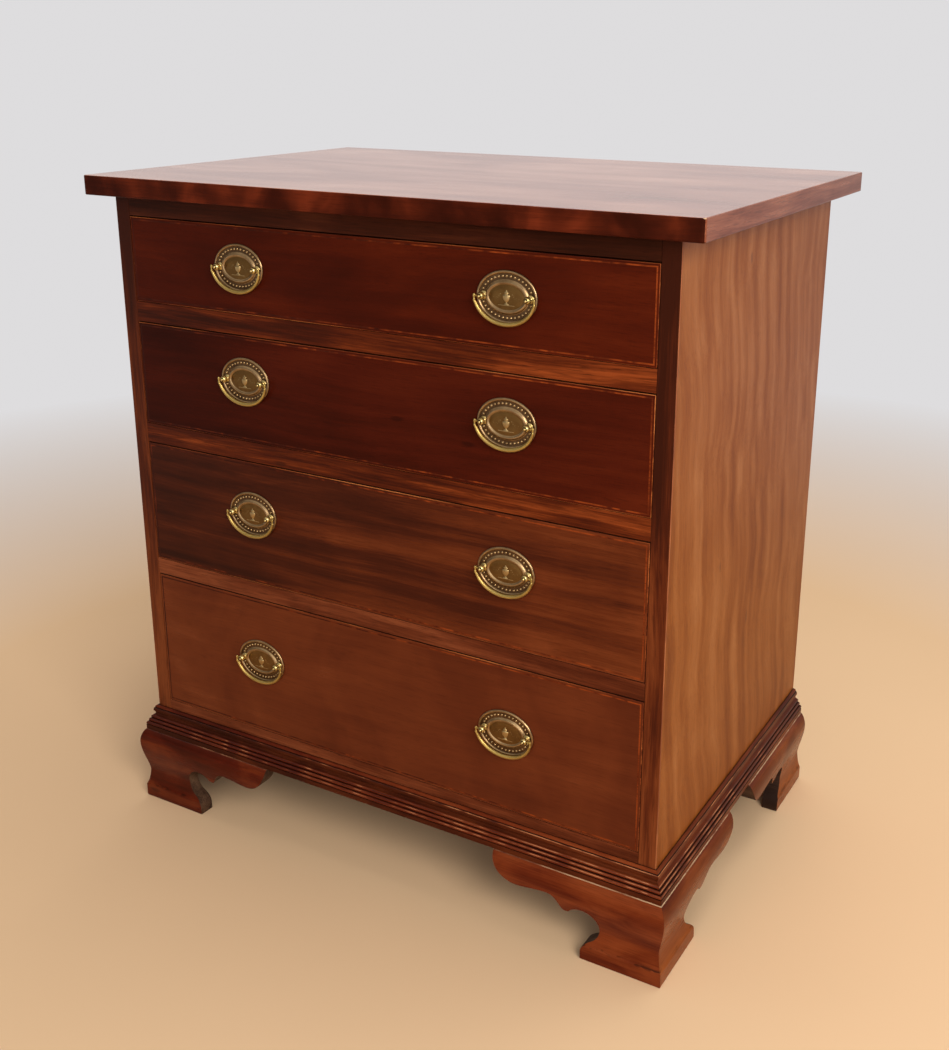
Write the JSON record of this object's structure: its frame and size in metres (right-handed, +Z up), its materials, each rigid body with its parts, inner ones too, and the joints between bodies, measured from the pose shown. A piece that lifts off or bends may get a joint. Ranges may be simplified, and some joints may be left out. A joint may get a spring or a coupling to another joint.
{
  "type": "chest of drawers",
  "caption": "Small mahogany chest of long graduated drawers on ogee bracket feet, with sliding dovetailed drawers and swinging oval bail handles.",
  "frame": {"origin": "on the floor, under the middle of the top board", "axes": "+Z up, +X to the right along the front, the drawers open towards -Y"},
  "size_m": [0.864, 0.5764, 0.9225],
  "materials": {
    "top": "French-polished mahogany, high gloss",
    "carcass_side": "French-polished mahogany, faded to tan brown, gloss",
    "top_rail": "polished dark mahogany",
    "rail": "polished mahogany, orange brown",
    "drawer_front": "polished red-brown mahogany with a fine string inlay",
    "base": "polished mahogany",
    "lining": "bare oak",
    "inner_wood": "bare pine, aged",
    "brass": "stamped brass, antique gold with dark recesses"
  },
  "bodies": {
    "carcass": {"top": "top", "left_side": "carcass_side", "right_side": "carcass_side", "back_panel": "inner_wood", "bottom_board": "rail", "top_rail": "top_rail", "divider_rail_1": "rail", "divider_rail_2": "rail", "divider_rail_3": "rail", "top_dust_board": "inner_wood", "dust_board_1": "inner_wood", "dust_board_2": "inner_wood", "dust_board_3": "inner_wood", "base_moulding_front": "base", "base_moulding_left": "base", "base_moulding_right": "base", "front_left_foot_front": "base", "front_left_foot_side": "base", "front_right_foot_front": "base", "front_right_foot_side": "base", "back_left_foot_side": "base", "back_left_foot_back": "inner_wood", "back_right_foot_side": "base", "back_right_foot_back": "inner_wood"},
    "drawer_1": {"drawer_1_front": "drawer_front", "drawer_1_left_side": "lining", "drawer_1_right_side": "lining", "drawer_1_back": "lining", "drawer_1_bottom": "lining", "drawer_1_left_plate": "brass", "drawer_1_right_plate": "brass"},
    "drawer_1_left_bail": {"drawer_1_left_bail": "brass"},
    "drawer_1_right_bail": {"drawer_1_right_bail": "brass"},
    "drawer_2": {"drawer_2_front": "drawer_front", "drawer_2_left_side": "lining", "drawer_2_right_side": "lining", "drawer_2_back": "lining", "drawer_2_bottom": "lining", "drawer_2_left_plate": "brass", "drawer_2_right_plate": "brass"},
    "drawer_2_left_bail": {"drawer_2_left_bail": "brass"},
    "drawer_2_right_bail": {"drawer_2_right_bail": "brass"},
    "drawer_3": {"drawer_3_front": "drawer_front", "drawer_3_left_side": "lining", "drawer_3_right_side": "lining", "drawer_3_back": "lining", "drawer_3_bottom": "lining", "drawer_3_left_plate": "brass", "drawer_3_right_plate": "brass"},
    "drawer_3_left_bail": {"drawer_3_left_bail": "brass"},
    "drawer_3_right_bail": {"drawer_3_right_bail": "brass"},
    "drawer_4": {"drawer_4_front": "drawer_front", "drawer_4_left_side": "lining", "drawer_4_right_side": "lining", "drawer_4_back": "lining", "drawer_4_bottom": "lining", "drawer_4_left_plate": "brass", "drawer_4_right_plate": "brass"},
    "drawer_4_left_bail": {"drawer_4_left_bail": "brass"},
    "drawer_4_right_bail": {"drawer_4_right_bail": "brass"}
  },
  "joints": [
    {"name": "drawer_1_slide", "type": "slide", "parent": "carcass", "child": "drawer_1", "axis": [0, -1, 0], "range_m": [0, 0.34]},
    {"name": "drawer_2_slide", "type": "slide", "parent": "carcass", "child": "drawer_2", "axis": [0, -1, 0], "range_m": [0, 0.34]},
    {"name": "drawer_3_slide", "type": "slide", "parent": "carcass", "child": "drawer_3", "axis": [0, -1, 0], "range_m": [0, 0.34]},
    {"name": "drawer_4_slide", "type": "slide", "parent": "carcass", "child": "drawer_4", "axis": [0, -1, 0], "range_m": [0, 0.34]},
    {"name": "drawer_1_left_bail_swing", "type": "hinge", "parent": "drawer_1", "child": "drawer_1_left_bail", "pos_m": [-0.194, -0.2735, 0.8175], "axis": [-1, 0, 0], "range_deg": [0, 185]},
    {"name": "drawer_1_right_bail_swing", "type": "hinge", "parent": "drawer_1", "child": "drawer_1_right_bail", "pos_m": [0.194, -0.2735, 0.8175], "axis": [-1, 0, 0], "range_deg": [0, 185]},
    {"name": "drawer_2_left_bail_swing", "type": "hinge", "parent": "drawer_2", "child": "drawer_2_left_bail", "pos_m": [-0.194, -0.2735, 0.6715], "axis": [-1, 0, 0], "range_deg": [0, 185]},
    {"name": "drawer_2_right_bail_swing", "type": "hinge", "parent": "drawer_2", "child": "drawer_2_right_bail", "pos_m": [0.194, -0.2735, 0.6715], "axis": [-1, 0, 0], "range_deg": [0, 185]},
    {"name": "drawer_3_left_bail_swing", "type": "hinge", "parent": "drawer_3", "child": "drawer_3_left_bail", "pos_m": [-0.194, -0.2735, 0.48875], "axis": [-1, 0, 0], "range_deg": [0, 185]},
    {"name": "drawer_3_right_bail_swing", "type": "hinge", "parent": "drawer_3", "child": "drawer_3_right_bail", "pos_m": [0.194, -0.2735, 0.48875], "axis": [-1, 0, 0], "range_deg": [0, 185]},
    {"name": "drawer_4_left_bail_swing", "type": "hinge", "parent": "drawer_4", "child": "drawer_4_left_bail", "pos_m": [-0.194, -0.2735, 0.273], "axis": [-1, 0, 0], "range_deg": [0, 185]},
    {"name": "drawer_4_right_bail_swing", "type": "hinge", "parent": "drawer_4", "child": "drawer_4_right_bail", "pos_m": [0.194, -0.2735, 0.273], "axis": [-1, 0, 0], "range_deg": [0, 185]}
  ]
}
